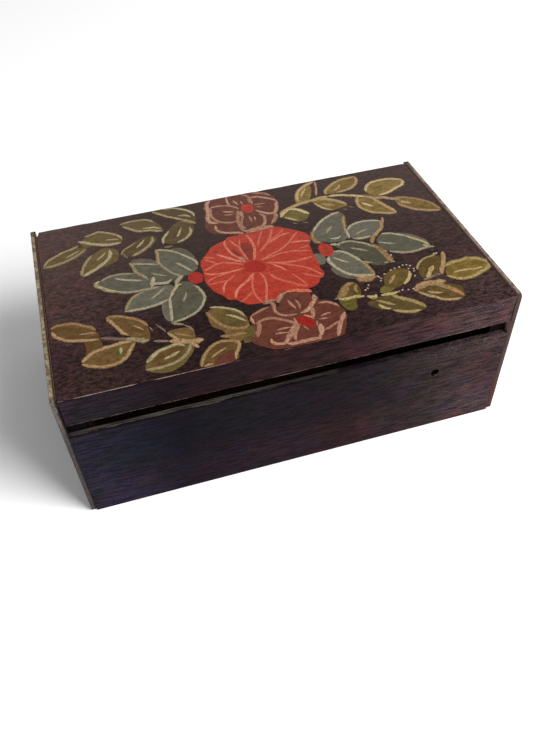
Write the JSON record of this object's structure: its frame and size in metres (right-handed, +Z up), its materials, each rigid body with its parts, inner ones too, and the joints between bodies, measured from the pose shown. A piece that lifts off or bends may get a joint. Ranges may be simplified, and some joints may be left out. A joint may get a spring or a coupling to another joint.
{
  "type": "pin-hinged wooden box",
  "caption": "Low rectangular wooden box with a painted lid that swings up on pins between thin end plates; a finger slot under the lid's front rail lifts it.",
  "frame": {"origin": "middle of the base, on the surface the box stands on", "axes": "+X to the right along the length, +Y to the back where the lid is hinged, +Z up"},
  "size_m": [0.22, 0.132, 0.08],
  "materials": {
    "painted_wood": "old dark plum-brown paint over fine-grained wood, rubbed at the arrises",
    "bare_wood": "unpainted, darkened with age",
    "iron": "dark, lightly rusted"
  },
  "bodies": {
    "carcass": {"left_end_plate": "painted_wood", "right_end_plate": "painted_wood", "left_end_board": "bare_wood", "right_end_board": "bare_wood", "front_board": "painted_wood", "back_board": "painted_wood", "bottom_board": "bare_wood", "front_board_brads": "iron", "back_board_brads": "iron", "bottom_brads": "iron", "left_plate_brads": "iron", "right_plate_brads": "iron"},
    "lid": {"lid_board": "painted_wood", "lid_lip": "painted_wood", "lip_brads": "iron", "left_hinge_pin": "iron", "right_hinge_pin": "iron"}
  },
  "joints": [
    {"name": "lid_hinge", "type": "hinge", "parent": "carcass", "child": "lid", "pos_m": [0, 0.062, 0.0775], "axis": [-1, 0, 0], "range_deg": [0, 97]}
  ]
}
